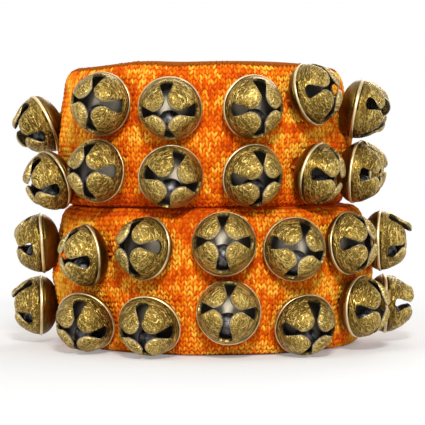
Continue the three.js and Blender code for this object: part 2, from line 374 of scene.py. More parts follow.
def grainyMaterial(name, scale, detail, stops, bump, others):  # two tones and a relief from one fine noise
    material, tree, shader = newMaterial(name)
    grain = noiseNode(tree, objectPlace(tree), scale, detail)
    finishMaterial(tree, shader, rampNode(tree, grain, stops), grain, bump, others)
    return material


def pileMaterial():  # hooks and loops of the closure, felted by use
    s = tapeFinish
    stops = [(0.32, s["pileDark"]), (0.68, s["pilePale"])]
    return grainyMaterial("closurePile", 1500.0, 3.0, stops, s["pileBump"],
                          {"Roughness": 0.95, "Specular IOR Level": 0.08, "Sheen Weight": 0.2})


def threadMaterial():
    s = tapeFinish
    stops = [(0.3, s["pale"]), (0.7, s["thread"])]
    return grainyMaterial("sewingThread", 3200.0, 1.0, stops, s["threadBump"],
                          {"Roughness": 0.7, "Specular IOR Level": 0.1})


brass = brassMaterial()
iron = ironMaterial()
knit = knitMaterial()
padCloth = padMaterial()
tape = tapeMaterial()
pile = pileMaterial()
thread = threadMaterial()
print("finishes ready")


# Bells: spun back dome, proud rim, four hammered petals round a cross of slots (millimetres, mouth along +z)

bellShape = {
    "shellRadius": 9.95,
    "domeDepth": 6.0,
    "petalDepth": 9.4,
    "wall": 0.9,
    "bevel": 0.16,
    "bevelAngle": 50,
    "rimProud": 0.35,
    "rimWidth": 1.1,
    "rimRows": (-0.85, -0.5, 0, 0.5, 0.85),
    "rimForward": 6.6,  # eye centre to the plane of the rim
    "slotReach": 9.4,
    "slotEndWidth": 4.5,
    "slotEndRound": 0.8,
    "slotNeckWidth": 0.8,
    "tipRadius": 4.1,
    "petalCurl": 0.8,  # edges of the petals turn in by this much
    "curlFrom": 0.72,
    "curlRun": 0.28,
    "curlSpan": 3,  # shorter stretches of petal curl and swell less
    "petalSwell": 0.6,
    "swellSpan": 5,
    "edgeWearAndHighlight": (0.0, 0.45, 0.9),  # the last rows of a petal are rubbed pale and carry a painted highlight
    "bandGrain": 0.2,
    "eyeRadius": 1.0,
    "eyeThick": 0.36,
    "eyeHalfWidth": 0.75,
    "dent": 0.16,
    "dentScale": 0.17,
    "ridge": 0.04,
    "ridgeScale": 0.6,
    "grainShift": (31.7, 17.3, 11.9),  # from bell to bell, so that each has its own hammer marks
    "spinReach": 3.2,  # how little the hammer marks change round the bell
    "leafTwist": 3.8,  # degrees that a petal was pressed out of place, each one differently
    "leafPush": 0.55,
    "pushRange": (-0.3, 1),
    "pressRun": 6,
    "flareHinge": 7.0,  # distance from the axis at which a petal bends outwards
    "flareRun": 2.5,
    "hollowLevel": 0.965,
    "hollowBlend": 0.05,
    "paintedLightReach": 5.8,
    "paintedLightFade": 3.4,
    "seed": 29,
    "domeRows": 12,
    "bandRows": 4,
    "armSteps": 10,
    "slotSteps": 10,
    "tipSteps": 12,
    "petalRows": 12,
    "eyeSteps": (24, 10),
}
bellRolls = {  # degrees about each bell's own axis, from one end of the row to the other
    "lower_bottom": (-27, -10, 0, -5, -3, 5, 0),
    "lower_top": (-10, -8, 2, 0, -16, 0, 24),
    "upper_bottom": (-12, 0, -16, 2, -6, 0, -10),
    "upper_top": (-20, -8, 2, 3, 2, -17, 10),
}
openBells = {"lower_top_bell_4": 7.0, "lower_bottom_bell_4": 7.0}  # degrees the two lower petals are spread
flaredPetals = {  # degrees each petal is bent out, counted from the bell's own upper right corner
    "upper_top_bell_1": (0, 20, 16, 0),
    "lower_top_bell_1": (0, 8, 0, 0),
    "lower_bottom_bell_1": (0, 14, 0, 0),
    "upper_top_bell_6": (30, 0, 8, 26),
    "lower_top_bell_7": (26, 8, 0, 0),
    "lower_bottom_bell_7": (26, 14, 10, 22),
}


def petalOutline():  # slot edge, round tip, slot edge of one petal in the first quarter
    s = bellShape
    start = np.array([s["slotReach"] - s["slotEndRound"], s["slotEndWidth"] / 2])
    neck = np.array([s["tipRadius"] + s["slotNeckWidth"] / 2, s["slotNeckWidth"] / 2])
    centre = np.array([neck[0], neck[0]])
    edge = start + (neck - start) * np.linspace(0, 1, s["slotSteps"] + 1)[:, None]
    turn = np.linspace(-quarterTurn, -math.pi, s["tipSteps"] + 1)[1:-1]
    tip = centre + s["tipRadius"] * np.column_stack([np.cos(turn), np.sin(turn)])
    return np.vstack([edge, tip, edge[::-1, ::-1]])


def bellColumns():  # turn of each column round the bell, how far out its brink lies, steps to a petal
    s = bellShape
    petalSteps = 2 * s["slotSteps"] + s["tipSteps"]
    sweep = np.linspace(-quarterTurn, quarterTurn, s["armSteps"] + 1)
    across = s["slotEndWidth"] / 2 * np.sin(sweep)
    along = s["slotReach"] - s["slotEndRound"] * (1 - np.cos(sweep))
    arm = np.arctan2(across, along)
    leaf = np.linspace(arm[-1], quarterTurn - arm[-1], petalSteps + 1)[:-1]
    quarter = np.concatenate([arm[:-1], leaf])
    brink = np.hypot(across, along)
    brink = np.concatenate([brink[:-1], np.full(petalSteps, brink[-1])])
    return np.concatenate([quarter + k * quarterTurn for k in range(4)]), np.tile(brink, 4), petalSteps


def bellRings(brink):  # radius and height of each ring, from the back to the brink of the mouth
    s = bellShape
    radius, half = s["shellRadius"], s["rimWidth"] / 2
    even = np.ones(len(brink))
    rings = []
    for share in np.linspace(0, 1, s["domeRows"] + 1)[1:]:
        lean = share * math.acos(half / s["domeDepth"])
        rings.append((even * radius * math.sin(lean), even * -s["domeDepth"] * math.cos(lean)))
    for share in s["rimRows"]:
        rings.append((even * (radius + s["rimProud"] * math.sqrt(1 - share * share)), even * share * half))
    firstLean = math.acos(half / s["petalDepth"])
    lastLean = np.arcsin(brink / radius)
    for share in np.linspace(0, 1, s["bandRows"] + 1):
        lean = firstLean + (lastLean - firstLean) * share
        rings.append((radius * np.sin(lean), s["petalDepth"] * np.cos(lean)))
    return rings


def bellSheet():
    s = bellShape
    turn, brink, petalSteps = bellColumns()
    rings = bellRings(brink)
    columns = len(turn)
    points = [np.array([0, 0, -s["domeDepth"]])]
    for rho, height in rings:
        points.extend(np.column_stack([rho * np.cos(turn), rho * np.sin(turn), height]))
    faces = [(0, 1 + (j + 1) % columns, 1 + j) for j in range(columns)]
    faces += gridFaces(len(rings), columns, 1)
    dome, proud = 1 + s["domeRows"] * columns, len(s["rimRows"]) * columns
    rim = [0.0] * dome + [1.0] * proud + [0.0] * (len(points) - dome - proud)
    crown = [0.0] * len(points)
    petal = [0.0] * (dome + proud)
    for row in range(s["bandRows"] + 1):
        petal += [min(1.0, s["bandGrain"] + row / 2)] * columns
    brinkStart = len(points) - columns
    inner = petalOutline()
    outer = np.array([points[brinkStart + s["armSteps"] + k][:2] for k in range(petalSteps + 1)])
    span = np.linalg.norm(outer - inner, axis=1)
    for k in range(4):
        c, w = round(math.cos(k * quarterTurn)), round(math.sin(k * quarterTurn))
        spin = np.array([[c, -w], [w, c]])
        first = k * columns // 4 + s["armSteps"]
        last = [brinkStart + (first + j) % columns for j in range(petalSteps + 1)]
        for row in range(1, s["petalRows"] + 1):
            share = row / s["petalRows"]
            flat = outer + (inner - outer) * share
            height = s["petalDepth"] * np.sqrt(1 - (flat ** 2).sum(axis=1) / s["shellRadius"] ** 2)
            height += s["petalSwell"] * math.sin(math.pi * share) * np.minimum(1, span / s["swellSpan"])
            curl = max(0, (share - s["curlFrom"]) / s["curlRun"]) ** 2
            height -= s["petalCurl"] * curl * np.minimum(1, span / s["curlSpan"])
            flat = flat @ spin.T
            now = [last[0]]
            for j in range(1, petalSteps):
                now.append(len(points))
                points.append(np.array([flat[j, 0], flat[j, 1], height[j]]))
                rim.append(s["edgeWearAndHighlight"][max(0, row - s["petalRows"] + 2)])
                crown.append(share ** 1.5 * (1 - abs(2 * j / petalSteps - 1) ** 3))  # tips worn bright with a painted highlight, the foot of each petal in painted shade
                petal.append(1.0)
            now.append(last[-1])
            for j in range(petalSteps):
                corners = [last[j], last[j + 1], now[j + 1], now[j]]
                faces.append(tuple(dict.fromkeys(corners)))
            last = now
    points = np.array(points)
    points[:, 2] += s["rimForward"]
    return points, faces, {"rim": rim, "petal": petal, "crown": crown}


def eyeLoop(first):  # wire loop at the back, its hole along x
    s = bellShape
    points = []
    around, across = s["eyeSteps"]
    for i in range(around):
        turn = 2 * math.pi * i / around
        for j in range(across):
            lean = 2 * math.pi * j / across
            rho = s["eyeRadius"] + s["eyeThick"] * math.cos(lean)
            points.append((s["eyeHalfWidth"] * math.sin(lean), rho * math.cos(turn), rho * math.sin(turn)))
    return np.array(points), gridFaces(around, across, first, closed=True)


def bellMaster():
    s = bellShape
    points, faces, marks = bellSheet()
    master = makePiece("bellMaster", points, faces, brass, marks)
    wall = master.modifiers.new("wall", "SOLIDIFY")
    wall.thickness = s["wall"]
    wall.offset = -1
    wall.use_even_offset = False
    soft = master.modifiers.new("soft", "BEVEL")
    soft.width = s["bevel"]
    soft.segments = 2
    soft.angle_limit = math.radians(s["bevelAngle"])
    mesh = plainMesh(master)
    place = meshPlaces(mesh)
    normal = np.array([v.normal[:] for v in mesh.vertices])
    faces = [tuple(p.vertices) for p in mesh.polygons]
    marks = {key: np.array([v.value for v in mesh.attributes[key].data]) for key in marks}
    bpy.data.objects.remove(master)
    rho, ahead = np.hypot(place[:, 0], place[:, 1]), place[:, 2] - s["rimForward"]
    depth = np.where(ahead > 0, s["petalDepth"], s["domeDepth"])
    level = np.sqrt((place[:, 0] ** 2 + place[:, 1] ** 2) / s["shellRadius"] ** 2 + (ahead / depth) ** 2)
    inside = smoothStep((s["hollowLevel"] - level) / s["hollowBlend"])
    # painted light: a pale patch at the bottom of the hollow, strongest near the axis
    paintedLight = inside * smoothStep((s["paintedLightReach"] - rho) / s["paintedLightFade"]) * (ahead < 0)
    marks.update({"inside": inside, "paintedLight": paintedLight, "outside": 1 - inside})
    loop, loopFaces = eyeLoop(len(place))
    centre = loop.copy()
    centre[:, 0] = 0
    away = loop - centre * (s["eyeRadius"] / np.linalg.norm(centre, axis=1))[:, None]
    return {
        "points": np.vstack([place, loop]),
        "normals": np.vstack([normal, away / np.linalg.norm(away, axis=1)[:, None]]),
        "faces": faces + loopFaces,
        "marks": {key: np.concatenate([values, np.zeros(len(loop))]) for key, values in marks.items()},
    }


def bellAxes(name):  # eye centre and the bell's own directions: side, up, mouth
    nod = joints[name]
    side = -np.array(nod["axis"])
    up = np.array(joints[name.replace("bell", "pellet")]["axis"])
    return np.array(nod["pos_m"]), unit(side), unit(up), unit(np.cross(side, up))


def rolledAxes(name):
    eye, side, up, mouth = bellAxes(name)
    row, number = name.split("_bell_")
    roll = math.radians(bellRolls[row][int(number) - 1])
    first = math.cos(roll) * side + math.sin(roll) * up
    second = -math.sin(roll) * side + math.cos(roll) * up
    return eye, first, second, mouth


def pressedPetals(points, spread, random):  # each petal turned and pushed in a little by hand
    s = bellShape
    rho = np.hypot(points[:, 0], points[:, 1])
    turn = np.arctan2(points[:, 1], points[:, 0])
    leaf = np.floor(turn / quarterTurn).astype(int) % 4
    free = smoothStep((s["slotReach"] - rho) / s["pressRun"]) * (points[:, 2] > s["rimForward"])
    twist = random.uniform(-s["leafTwist"], s["leafTwist"], 4)
    if spread:
        twist = np.array([0, 0, -spread, spread])
    turn = turn + np.radians(twist)[leaf] * free
    push = random.uniform(*s["pushRange"], 4)[leaf] * s["leafPush"] * free
    return np.column_stack([rho * np.cos(turn), rho * np.sin(turn), points[:, 2] - push]), leaf


def flared(points, leaf, bends):  # a petal bent out of the mouth about a line across its foot
    s = bellShape
    facing = (leaf + 0.5) * quarterTurn
    along = points[:, 0] * np.cos(facing) + points[:, 1] * np.sin(facing)
    aside = points[:, 1] * np.cos(facing) - points[:, 0] * np.sin(facing)
    foot = s["rimForward"] + s["petalDepth"] * math.sqrt(1 - (s["flareHinge"] / s["shellRadius"]) ** 2)
    loose = smoothStep((s["flareHinge"] - along) / s["flareRun"]) * (points[:, 2] > s["rimForward"])
    bend = np.radians(np.array(bends))[leaf] * loose
    back, rise = along - s["flareHinge"], points[:, 2] - foot
    along = s["flareHinge"] + back * np.cos(bend) + rise * np.sin(bend)
    height = foot - back * np.sin(bend) + rise * np.cos(bend)
    return np.column_stack([along * np.cos(facing) - aside * np.sin(facing),
                            along * np.sin(facing) + aside * np.cos(facing), height])


def spunGrain(points):  # place on the shell drawn out round its axis, as spinning and hammering left it
    reach = bellShape["spinReach"]
    turn = np.arctan2(points[:, 1], points[:, 0])
    lean = np.arctan2(np.hypot(points[:, 0], points[:, 1]), points[:, 2] - bellShape["rimForward"])
    return np.column_stack([reach * np.cos(turn), reach * np.sin(turn), bellShape["shellRadius"] * lean])


def makeBell(name, master, number):
    s = bellShape
    random = np.random.default_rng(s["seed"] + number)
    shift = np.array(s["grainShift"]) * number
    grain = spunGrain(master["points"]) + shift
    dents = np.array([noise.noise(p * s["dentScale"]) for p in master["points"] + shift])
    ridges = 1 - 4 * np.abs(np.array([noise.noise(p * s["ridgeScale"]) for p in grain]))
    lift = s["dent"] * dents + s["ridge"] * ridges * master["marks"]["petal"]
    lift *= master["marks"]["outside"]
    local, leaf = pressedPetals(master["points"], openBells.get(name, 0), random)
    local = flared(local + master["normals"] * lift[:, None], leaf, flaredPetals.get(name, (0, 0, 0, 0)))
    eye, *axes = rolledAxes(name)
    points = eye + local * mm @ np.array(axes)
    piece = makePiece(name + "_shell", points, master["faces"], brass, {"grain": grain, **master["marks"]})
    dress(piece, name, name)


master = bellMaster()
for number, name in enumerate(bellNames):
    makeBell(name, master, number)
print("bells made:", len(bellNames), "of", len(master["faces"]), "faces")


# Pellets: cast iron balls with a faint parting line, loose inside the bells

pelletShape = {
    "seamRise": 0.12,
    "seamWidth": 0.35,
    "seamTilt": (0.6, 0.13),  # of the parting line, upwards and, from pellet to pellet, towards the mouth
    "pock": 0.10,
    "pockScale": 3.1,
    "pockShift": 2.7,
    "pockFrom": 0.25,
    "under": 0.05,  # below the solid's size, so that the seam doesn't stand far out of it
}


def makePellet(bellName, number):
    s = pelletShape
    name = bellName.replace("bell", "pellet")
    low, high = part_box(name)
    centre = (low + high) / 2
    radius = min(high - low) / 2
    _, side, up, mouth = bellAxes(bellName)
    pole = unit(side + s["seamTilt"][0] * up + s["seamTilt"][1] * (number % 5) * mouth)
    mesh = bmesh.new()
    bmesh.ops.create_icosphere(mesh, subdivisions=4, radius=1)
    points = []
    for vertex in mesh.verts:
        direction = np.array(vertex.co)
        away = float(direction @ pole) * radius / mm
        rise = s["seamRise"] * math.exp(-(away / s["seamWidth"]) ** 2)
        pock = noise.noise(direction * s["pockScale"] + number * s["pockShift"])
        rise -= s["pock"] * max(0, pock - s["pockFrom"])
        points.append(np.array(centre) + direction * (radius - s["under"] * mm + rise * mm))
    faces = [tuple(v.index for v in face.verts) for face in mesh.faces]
    mesh.free()
    dress(makePiece(name + "_ball", points, faces, iron), name, name)


for number, name in enumerate(bellNames):
    makePellet(name, number)
print("pellets made:", len(bellNames))


# Pads: knitted covers over soft filling, drawn in where each bell is sewn on (millimetres)

padShape = {
    "eyeStandoff": 2.0,  # eye centre to the pad's face
    "thickness": 8.5,
    "backGap": 8.0,
    "outerRound": 4.6,
    "topDrop": {"lower": 4.2, "upper": 6.6},  # height over which the top edge rolls in
    "footDrop": {"lower": 4.6, "upper": 2.8},
    "innerRound": 2.4,
    "puff": 3.4,  # how far the cover swells between the bells at the front
    "crown": 0.85,  # how soon the swell dies away towards the edges
    "sidePuff": {"lower": 4.4, "upper": 3.8},
    "sideCrown": {"lower": 1.4, "upper": 3.4},
    "sideFrom": 0.75,  # radians from the front where the sides begin
    "sideRun": 0.45,
    "edgePuff": 0.15,
    "ripple": 0.35,
    "rippleTurns": (17, 5),
    "rippleRises": (0.21, 0.33),
    "seatPull": 0.4,
    "tuftRadius": 2.8,
    "seatPatch": 2.2,
    "bellNear": 24,  # further from a bell's eye than this there is room enough
    "roomMost": 9.0,
    "roomTries": (5, -2.6, -0.25),
    "bellClear": 1.2,  # kept free under each bell through its whole nod
    "endLength": 4.0,
    "endThin": 0.35,  # share of the thickness left at the two ends
    "endLow": 0.93,
    "columns": 240,
    "faceRows": 28,
    "cornerRows": 7,
    "innerRows": 14,
    "flatRows": 6,
    "rimFrom": 0.72,  # share of the height from which the upper edge waves
    "rimTurns": (-3.1, -1.7, -1.15, -0.8, -0.45, -0.18, 0.15, 0.5, 0.85, 1.2, 1.7, 3.1),
    "rimRises": (-0.4, -0.7, -0.8, -0.3, 0.7, 0.1, 0.45, 0.5, 0.2, -0.4, -0.6, -0.4),
    "rimBlend": (-0.1, -0.05, 0, 0.05, 0.1),
    "stackGap": 0.10,  # left between the two bands where one rests on the other
    "stackBead": 0.6,  # low ridge on the lower band that a groove in the upper one sits over
    "stackSlope": 2.6,
    "hemLength": 4.2,  # rolled in over the top edge
    "quietFrom": 1.95,  # radians from the front where the puffs fade towards the closure
    "quietTo": 2.4,
}


def bandPlace(name):
    eyes = [np.array(joints[bell]["pos_m"]) / mm for bell in bellNames if bell.startswith(name)]
    centre, reach = fitCircle([eye[:2] for eye in eyes])
    low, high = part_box(name + "_pad")
    seats = []
    for eye in eyes:
        out = eye[:2] - centre
        seats.append((math.atan2(out[0], -out[1]), eye[2] - low[2] / mm))
    return {"name": name, "centre": centre, "radius": reach - padShape["eyeStandoff"], "floor": low[2] / mm,
            "height": (high[2] - low[2]) / mm, "seats": seats}


def bandPoints(band, turn, radius, up):
    return np.stack([band["centre"][0] + radius * np.sin(turn), band["centre"][1] - radius * np.cos(turn),
                     band["floor"] + up], axis=-1)


def seatDistances(band, turn, up):  # over the pad's face, to each place where a bell is sewn on
    return [np.hypot(band["radius"] * (turn - seatTurn), up - seatUp) for seatTurn, seatUp in band["seats"]]


def padSection(band):  # one loop round the pad: outward and upward place, and the way each point faces
    s = padShape
    height = band["height"]
    back = -s["thickness"]
    out, inn = s["outerRound"], s["innerRound"]
    drop, foot = s["topDrop"][band["name"]], s["footDrop"][band["name"]]
    loop = []

    def arc(centreOut, centreUp, across, rise, quarter):
        for turn in np.linspace(quarter * quarterTurn, (quarter + 1) * quarterTurn, s["cornerRows"] + 1)[1:]:
            facing = (math.cos(turn), math.sin(turn))
            loop.append((centreOut + across * facing[0], centreUp + rise * facing[1], *facing))

    def run(fromPlace, toPlace, facing, count):
        for share in np.linspace(0, 1, count + 1)[1:]:
            place = [a + (b - a) * share for a, b in zip(fromPlace, toPlace)]
            loop.append((*place, *facing))

    arc(-out, foot, out, foot, -1)
    run((0, foot), (0, height - drop), (1, 0), s["faceRows"])
    arc(-out, height - drop, out, drop, 0)
    faceCount = len(loop)
    run((-out, height), (back + inn, height), (0, 1), s["flatRows"])
    arc(back + inn, height - inn, inn, inn, 1)
    run((back, height - inn), (back, inn), (-1, 0), s["innerRows"])
    arc(back + inn, inn, inn, inn, 2)
    run((back + inn, 0), (-out, 0), (0, -1), s["flatRows"])
    return np.array(loop), faceCount


def bellRoom(band, turn, up):  # how far the cover may stand before it meets a bell, at any nod
    s = bellShape
    base = bandPoints(band, turn, band["radius"], up)
    out = np.stack([np.sin(turn), -np.cos(turn), np.zeros_like(turn)], axis=-1)
    room = np.full(turn.shape, padShape["roomMost"])
    for name in bellNames:
        eye, side, _, mouth = bellAxes(name)
        near = np.linalg.norm(base - eye / mm, axis=-1) < padShape["bellNear"]
        away, facing, best = base[near] - eye / mm, out[near], room[near]
        for angle in (*nodRanges[name], 0):
            swing = math.radians(angle)
            lean = mouth * math.cos(swing) + np.cross(-side, mouth) * math.sin(swing)
            offset = away - lean * s["rimForward"]
            for stand in np.arange(*padShape["roomTries"]):
                place = offset + facing * stand
                axial = place @ lean
                across = (place ** 2).sum(axis=1) - axial ** 2
                level = across / (s["shellRadius"] + s["rimProud"]) ** 2
                level += (np.minimum(axial, 0) / s["domeDepth"]) ** 2
                meets = (level < 1) & (axial < s["petalDepth"] / 2)
                best = np.where(meets, np.minimum(best, stand), best)
        room[near] = best
    return room - padShape["bellClear"]


def blurred(field, rounds):
    for _ in range(rounds):
        wide = np.pad(field, 1, mode="edge")
        field = (wide[:-2, 1:-1] + wide[2:, 1:-1] + wide[1:-1, :-2] + wide[1:-1, 2:] + 2 * field) / 6
    return field


def padStand(band, turn, up):  # how far the cover stands off its flat shape
    s = padShape
    share = np.clip(up / band["height"], 0, 1)
    aside = smoothStep((np.abs(turn) - s["sideFrom"]) / s["sideRun"])
    puff = s["puff"] + (s["sidePuff"][band["name"]] - s["puff"]) * aside
    crown = s["crown"] + (s["sideCrown"][band["name"]] - s["crown"]) * aside
    stand = s["edgePuff"] + (puff - s["edgePuff"]) * np.sin(math.pi * share) ** crown
    ripple = s["ripple"]
    for turns, rise in zip(s["rippleTurns"], s["rippleRises"]):
        ripple = ripple * np.sin(turns * turn + rise * up)
    quiet = 1 - smoothStep((np.abs(turn) - s["quietFrom"]) / (s["quietTo"] - s["quietFrom"]))
    room = bellRoom(band, turn, up)
    stand = np.minimum((stand + ripple) * quiet, room)
    for away in seatDistances(band, turn, up):
        pull = np.exp(-(away / s["tuftRadius"]) ** 2)
        stand = stand * (1 - pull) - s["seatPull"] * pull
    return np.minimum(blurred(stand, 3), room)


def padGrid(band):
    s = padShape
    loop, faceCount = padSection(band)
    half = math.pi - s["backGap"] / 2 / band["radius"]
    turns = np.linspace(-half, half, s["columns"])
    turn, outward = np.meshgrid(turns, loop[:, 0], indexing="ij")
    up, faceOut, faceUp = (np.broadcast_to(loop[:, k], turn.shape) for k in (1, 2, 3))
    stand = padStand(band, turn, up) * smoothStep(faceOut * 1.2)
    ridge = -(s["outerRound"] + s["thickness"] - s["innerRound"]) / 2
    bead = s["stackBead"] * smoothStep(1 - s["stackSlope"] * np.abs(outward - ridge))
    if band["name"] == "lower":  # the other band stands on this one
        rise = (band["above"] - s["stackGap"]) * smoothStep(faceUp * 1.5 - 0.5) + bead * (faceUp > 0.9)
    else:
        waves = [np.interp(turn + shift, s["rimTurns"], s["rimRises"]) for shift in s["rimBlend"]]
        wave = sum(waves) / len(waves)
        share = up / band["height"]
        rise = wave * smoothStep((share - s["rimFrom"]) / (1 - s["rimFrom"])) + bead * (faceUp < -0.9)
    fromEnd = (half - np.abs(turn)) * band["radius"]
    pinch = np.sqrt(1 - (1 - np.clip(fromEnd / s["endLength"], 0, 1)) ** 2)
    middle = -s["thickness"] / 2
    reach = middle + (outward + stand - middle) * (s["endThin"] + (1 - s["endThin"]) * pinch)
    waist = band["height"] / 2
    level = waist + (up + rise - waist) * (s["endLow"] + (1 - s["endLow"]) * pinch)
    points = bandPoints(band, turn, band["radius"] + reach, level)
    return {"points": points, "turn": turn, "up": up, "faceOut": faceOut, "faceCount": faceCount,
            "loop": loop}


def padFaces(columns, rows):
    faces = [(a, d, c, b) for a, b, c, d in gridFaces(columns, rows)]
    last = (columns - 1) * rows
    return faces + [tuple(range(rows)), tuple(last + j for j in reversed(range(rows)))]


clothShape = {
    "scale": 10.0,  # the trial piece is made this much larger, which the solver takes better
    "frames": 20,
    "cap": 1.2,
    "settings": {"quality": 6, "mass": 0.25, "tension_stiffness": 14, "compression_stiffness": 6,
                 "shear_stiffness": 5, "bending_stiffness": 0.4, "use_pressure": True,
                 "uniform_pressure_force": 3.0, "vertex_group_mass": "sewn"},
}


def settleCloth(points, faces, pinned):  # blown up a little between its sewn points, then kept
    s = clothShape
    piece = makePiece("padTrial", points.reshape(-1, 3) * mm * s["scale"], faces, padCloth)
    group = piece.vertex_groups.new(name="sewn")
    group.add([int(index) for index in np.flatnonzero(pinned.ravel())], 1.0, "REPLACE")
    cloth = piece.modifiers.new("cloth", "CLOTH")
    for key, value in s["settings"].items():
        setattr(cloth.settings, key, value)
    cloth.settings.effector_weights.gravity = 0
    cloth.point_cache.frame_start = 1
    cloth.point_cache.frame_end = s["frames"]
    for step in range(1, s["frames"] + 1):
        scene.frame_set(step)
    moved = meshPlaces(piece.evaluated_get(bpy.context.evaluated_depsgraph_get()).data)
    moved = moved.reshape(points.shape) / (mm * s["scale"])
    scene.frame_set(1)
    bpy.data.objects.remove(piece)
    step = moved - points
    length = np.linalg.norm(step, axis=-1, keepdims=True)
    print("cloth moved up to", round(float(length.max()), 2), "mm, mean", round(float(length.mean()), 3))
    return points + step * np.minimum(1, s["cap"] / np.maximum(length, 1e-6))


def keepClear(band, grid, points):  # a settled cover still stays off the bells
    flat = points[..., :2] - band["centre"]
    reach = np.linalg.norm(flat, axis=-1)
    turn = np.arctan2(flat[..., 0], -flat[..., 1])
    most = band["radius"] + bellRoom(band, turn, points[..., 2] - band["floor"])
    share = np.where(grid["faceOut"] > 0.1, np.minimum(1, most / reach), 1)
    points = points.copy()
    points[..., :2] = band["centre"] + flat * share[..., None]
    return points


def makePad(band):
    s = padShape
    grid = padGrid(band)
    points, turn, up, faceOut = grid["points"], grid["turn"], grid["up"], grid["faceOut"]
    loop, faceCount = grid["loop"], grid["faceCount"]
    faces = padFaces(*turn.shape)
    pinned = (faceOut < 0.3) | (np.abs(turn) > s["quietTo"])
    pinned[:2] = True
    pinned[-2:] = True
    for away in seatDistances(band, turn, up):
        pinned |= (away < s["seatPatch"]) & (faceOut > 0.5)
    points = settleCloth(points, faces, pinned)
    points = keepClear(band, grid, points)
    reach = runLength(loop[:, :2])
    hem = smoothStep((reach - reach[faceCount - 1] + s["hemLength"]) / 0.5) * (loop[:, 3] > 0)
    hem = np.broadcast_to(hem * (band["name"] == "upper"), turn.shape)
    lining = np.clip(-faceOut * 1.4, 0, 1)
    weave = np.stack([turn * band["radius"], up, np.zeros_like(turn)], axis=-1)
    piece = makePiece(band["name"] + "_knit_pad", points.reshape(-1, 3) * mm, faces, padCloth,
                      {"hem": hem.ravel(), "lining": lining.ravel(), "weave": weave.reshape(-1, 3)})
    smooth = piece.modifiers.new("smooth", "SUBSURF")
    smooth.levels = smooth.render_levels = 1
    plainMesh(piece)
    dress(piece, band["name"] + "_band", band["name"] + "_pad")
    grid["face"] = points[:, :faceCount]
    return grid


# Geometry Nodes: small shapes set on points that carry their own facing

def pointCloud(name, places, facing, upward, tone=1.0):
    return makePiece(name, places, [], knit, {"facing": facing, "upward": upward,
                                              "pointTone": np.broadcast_to(tone, len(places))})


def treeWithInputs(name, sizes):
    tree = bpy.data.node_groups.new(name, "GeometryNodeTree")
    tree.interface.new_socket("Geometry", in_out="INPUT", socket_type="NodeSocketGeometry")
    for label in sizes:
        tree.interface.new_socket(label, in_out="INPUT", socket_type="NodeSocketFloat")
    tree.interface.new_socket("Seed", in_out="INPUT", socket_type="NodeSocketInt")
    tree.interface.new_socket("Material", in_out="INPUT", socket_type="NodeSocketMaterial")
    tree.interface.new_socket("Geometry", in_out="OUTPUT", socket_type="NodeSocketGeometry")
    return tree, tree.nodes.new("NodeGroupInput").outputs, tree.nodes.new("NodeGroupOutput")


def namedField(tree, name, kind):
    return addNode(tree, "GeometryNodeInputNamedAttribute", {"Name": name}, data_type=kind).outputs[0]


def aimedRotation(tree):
    facing, upward = (namedField(tree, name, "FLOAT_VECTOR") for name in ("facing", "upward"))
    first = addNode(tree, "FunctionNodeAlignRotationToVector", {"Vector": facing}, axis="Z").outputs[0]
    return addNode(tree, "FunctionNodeAlignRotationToVector", {"Rotation": first, "Vector": upward},
                   axis="Y", pivot_axis="Z").outputs[0]


def finishTree(tree, entry, leave, shape, jitter):
    wobble = addNode(tree, "FunctionNodeRandomValue", {2: 1 - jitter, 3: 1 + jitter, "Seed": entry["Seed"]},
                     data_type="FLOAT").outputs[1]
    placed = addNode(tree, "GeometryNodeInstanceOnPoints",
                     {"Points": entry["Geometry"], "Instance": shape, "Rotation": aimedRotation(tree),
                      "Scale": wobble}).outputs[0]
    stored = addNode(tree, "GeometryNodeStoreNamedAttribute",
                     {"Geometry": placed, "Name": "tone", "Value": namedField(tree, "pointTone", "FLOAT")},
                     data_type="FLOAT", domain="INSTANCE").outputs[0]
    solid = addNode(tree, "GeometryNodeRealizeInstances", {"Geometry": stored}).outputs[0]
    smooth = addNode(tree, "GeometryNodeSetShadeSmooth", {"Geometry": solid}).outputs[0]
    coloured = addNode(tree, "GeometryNodeSetMaterial", {"Geometry": smooth, "Material": entry["Material"]})
    tree.links.new(coloured.outputs[0], leave.inputs[0])


def strandTree(name, rounds, jitter):  # one plump length of yarn or thread, along its point's upward way
    tree, entry, leave = treeWithInputs(name, ("Length", "Width", "Depth"))
    size = addNode(tree, "ShaderNodeCombineXYZ",
                   {"X": entry["Width"], "Y": entry["Length"], "Z": entry["Depth"]}).outputs[0]
    ball = addNode(tree, "GeometryNodeMeshIcoSphere", {"Radius": 0.5, "Subdivisions": rounds}).outputs[0]
    strand = addNode(tree, "GeometryNodeTransform", {"Geometry": ball, "Scale": size}).outputs[0]
    finishTree(tree, entry, leave, strand, jitter)
    return tree


def loopTree():  # one ring of doubled thread through a bell's eye
    tree, entry, leave = treeWithInputs("eyeThread", ("Ring Radius", "Thread Radius"))
    ring, section = (addNode(tree, "GeometryNodeCurvePrimitiveCircle",
                             {"Resolution": count, "Radius": entry[radius]}).outputs[0]
                     for count, radius in ((16, "Ring Radius"), (6, "Thread Radius")))
    strand = addNode(tree, "GeometryNodeCurveToMesh", {"Curve": ring, "Profile Curve": section}).outputs[0]
    both = addNode(tree, "GeometryNodeJoinGeometry")
    for apart in (-0.9, 0.9):
        lift = mathNode(tree, "MULTIPLY", entry["Thread Radius"], apart)
        move = addNode(tree, "ShaderNodeCombineXYZ", {"Z": lift}).outputs[0]
        one = addNode(tree, "GeometryNodeTransform", {"Geometry": strand, "Translation": move}).outputs[0]
        tree.links.new(one, both.inputs[0])
    finishTree(tree, entry, leave, both.outputs[0], 0.02)
    return tree


